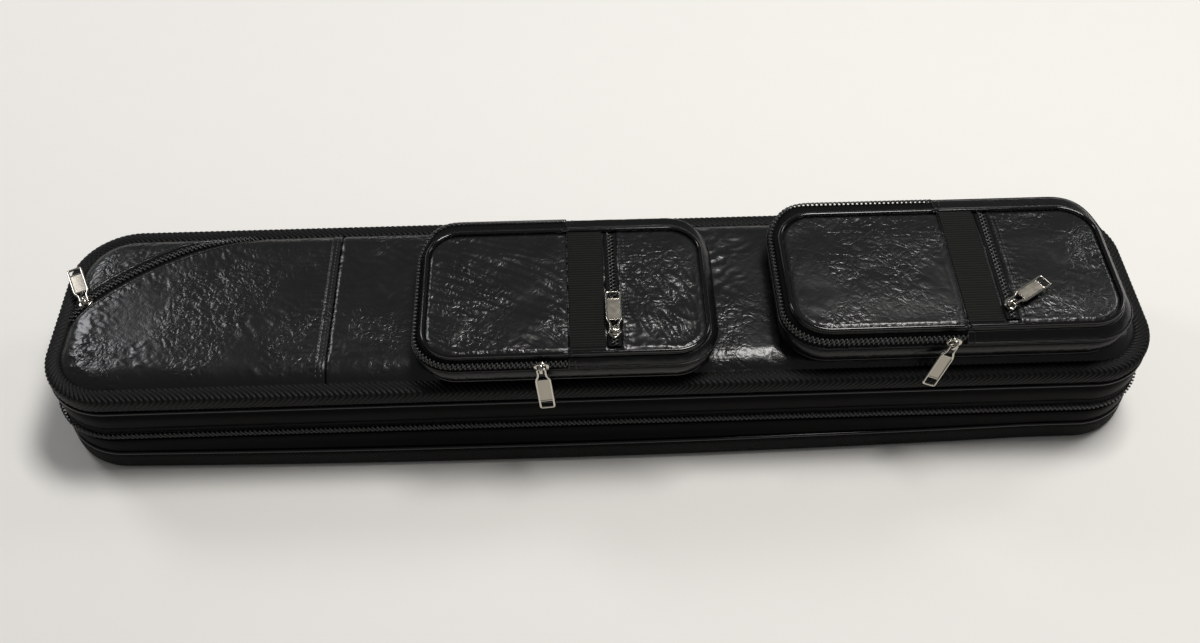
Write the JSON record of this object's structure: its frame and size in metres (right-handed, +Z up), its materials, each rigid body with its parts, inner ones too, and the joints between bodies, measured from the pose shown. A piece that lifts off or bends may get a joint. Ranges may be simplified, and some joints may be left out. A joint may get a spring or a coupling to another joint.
{
  "type": "cue case",
  "caption": "Long soft-sided zipped clamshell case for two-piece cues, with a padded lid, a curved corner zipper, two zipped accessory pockets and frame-shaped zipper pulls.",
  "frame": {"origin": "middle of the flat underside, on the surface that the case lies on", "axes": "+X along the case towards the end with the larger pocket, -Y the front where the main zipper shows, +Z up"},
  "size_m": [0.8582, 0.1921, 0.1342],
  "materials": {
    "leatherette": "crinkled black coated fabric, satin with sharp highlights on the creases",
    "binding_twill": "matt herringbone twill tape",
    "webbing": "ribbed nylon webbing",
    "zipper_nylon": "woven zipper tape with a nylon coil",
    "welt_piping": "smooth glossy piping",
    "nickel_plate": "dark nickel plating, brushed on the pulls' faces",
    "lining_cloth": "brushed lining cloth",
    "foam": "cloth-faced foam",
    "base_board": "leatherette-faced board"
  },
  "bodies": {
    "base": {"base_panel": "base_board", "base_wall": "leatherette", "base_binding": "binding_twill", "base_piping": "leatherette", "base_lining": "lining_cloth", "cue_cradle_left": "foam", "cue_cradle_right": "foam", "cue_strap_left": "binding_twill", "cue_strap_right": "binding_twill", "main_zip_lower": "zipper_nylon", "spine_hinge": "leatherette", "handle_tab_left": "leatherette", "handle_tab_right": "leatherette"},
    "handle": {"handle_grip": "leatherette"},
    "main_front_slider": {"main_front_slider": "nickel_plate"},
    "main_front_pull": {"main_front_pull": "nickel_plate"},
    "main_back_slider": {"main_back_slider": "nickel_plate"},
    "main_back_pull": {"main_back_pull": "nickel_plate"},
    "lid": {"lid_wall": "leatherette", "lid_binding": "binding_twill", "lid_lining": "lining_cloth", "lid_panel_left": "leatherette", "lid_panel_corner": "leatherette", "lid_panel_main": "leatherette", "arc_zip_tape": "zipper_nylon", "main_zip_upper": "zipper_nylon", "mid_pocket_back": "leatherette", "mid_pocket_wall": "leatherette", "mid_zip_lower": "zipper_nylon", "mid_zip_cover": "leatherette", "mid_pocket_top": "leatherette", "mid_top_piping": "welt_piping", "mid_webbing": "webbing", "mid_lid_zip": "zipper_nylon", "right_pocket_back": "leatherette", "right_pocket_wall": "leatherette", "right_zip_lower": "zipper_nylon", "right_zip_cover": "leatherette", "right_pocket_top": "leatherette", "right_top_piping": "welt_piping", "right_webbing": "webbing", "right_lid_zip": "zipper_nylon"},
    "arc_slider": {"arc_slider": "nickel_plate"},
    "arc_pull": {"arc_pull": "nickel_plate"},
    "mid_flap": {"mid_pocket_flap": "leatherette", "mid_flap_piping": "welt_piping", "mid_zip_upper": "zipper_nylon"},
    "mid_gusset_slider": {"mid_gusset_slider": "nickel_plate"},
    "mid_gusset_pull": {"mid_gusset_pull": "nickel_plate"},
    "mid_lid_slider": {"mid_lid_slider": "nickel_plate"},
    "mid_lid_pull": {"mid_lid_pull": "nickel_plate"},
    "right_flap": {"right_pocket_flap": "leatherette", "right_flap_piping": "welt_piping", "right_zip_upper": "zipper_nylon"},
    "right_gusset_slider": {"right_gusset_slider": "nickel_plate"},
    "right_gusset_pull": {"right_gusset_pull": "nickel_plate"},
    "right_lid_slider": {"right_lid_slider": "nickel_plate"},
    "right_lid_pull": {"right_lid_pull": "nickel_plate"}
  },
  "joints": [
    {"name": "lid_hinge", "type": "hinge", "parent": "base", "child": "lid", "pos_m": [0, 0.0895, 0.042], "axis": [-1, 0, 0], "range_deg": [0, 95]},
    {"name": "handle_swing", "type": "hinge", "parent": "base", "child": "handle", "pos_m": [0, 0.0915, 0.033], "axis": [1, 0, 0], "range_deg": [0, 110]},
    {"name": "main_front_slide", "type": "slide", "parent": "base", "child": "main_front_slider", "axis": [0, -1, 0], "range_m": [0, 0.038]},
    {"name": "main_back_slide", "type": "slide", "parent": "base", "child": "main_back_slider", "axis": [0, 1, 0], "range_m": [0, 0.014]},
    {"name": "arc_slide", "type": "hinge", "parent": "lid", "child": "arc_slider", "pos_m": [-0.2336, -0.1462, 0.093], "axis": [0, 0, -1], "range_deg": [0, 32]},
    {"name": "mid_flap_hinge", "type": "hinge", "parent": "lid", "child": "mid_flap", "pos_m": [-0.0245, -0.0195, 0.121], "axis": [0, 1, 0], "range_deg": [0, 90]},
    {"name": "right_flap_hinge", "type": "hinge", "parent": "lid", "child": "right_flap", "pos_m": [0.2685, -0.0105, 0.1255], "axis": [0, 1, 0], "range_deg": [0, 90]},
    {"name": "mid_gusset_slide", "type": "slide", "parent": "lid", "child": "mid_gusset_slider", "axis": [-1, 0, 0], "range_m": [0, 0.06]},
    {"name": "mid_lid_slide", "type": "slide", "parent": "lid", "child": "mid_lid_slider", "axis": [0, 1, 0], "range_m": [0, 0.09]},
    {"name": "right_gusset_slide", "type": "slide", "parent": "lid", "child": "right_gusset_slider", "axis": [-1, 0, 0], "range_m": [0, 0.085]},
    {"name": "right_lid_slide", "type": "slide", "parent": "lid", "child": "right_lid_slider", "axis": [0, 1, 0], "range_m": [0, 0.085]},
    {"name": "arc_pull_swing", "type": "hinge", "parent": "arc_slider", "child": "arc_pull", "pos_m": [-0.40229, 0.00569, 0.093], "axis": [0.9023, 0.4311, 0], "range_deg": [0, 150]},
    {"name": "main_front_pull_swing", "type": "hinge", "parent": "main_front_slider", "child": "main_front_pull", "pos_m": [0.43, 0.006, 0.042], "axis": [0, -1, 0], "range_deg": [0, 150]},
    {"name": "main_back_pull_swing", "type": "hinge", "parent": "main_back_slider", "child": "main_back_pull", "pos_m": [0.43, 0.02, 0.042], "axis": [0, -1, 0], "range_deg": [0, 150]},
    {"name": "mid_gusset_pull_swing", "type": "hinge", "parent": "mid_gusset_slider", "child": "mid_gusset_pull", "pos_m": [-0.045, -0.0906, 0.112], "axis": [-0.9947, 0, -0.1025], "range_deg": [0, 150]},
    {"name": "mid_lid_pull_swing", "type": "hinge", "parent": "mid_lid_slider", "child": "mid_lid_pull", "pos_m": [0.0095, -0.068, 0.1271], "axis": [1, 0, 0], "range_deg": [0, 150]},
    {"name": "right_gusset_pull_swing", "type": "hinge", "parent": "right_gusset_slider", "child": "right_gusset_pull", "pos_m": [0.2575, -0.0831, 0.1165], "axis": [-0.8976, 0, 0.4409], "range_deg": [0, 150]},
    {"name": "right_lid_pull_swing", "type": "hinge", "parent": "right_lid_slider", "child": "right_lid_pull", "pos_m": [0.3025, -0.056, 0.1316], "axis": [0.5593, -0.829, 0], "range_deg": [0, 150]}
  ]
}
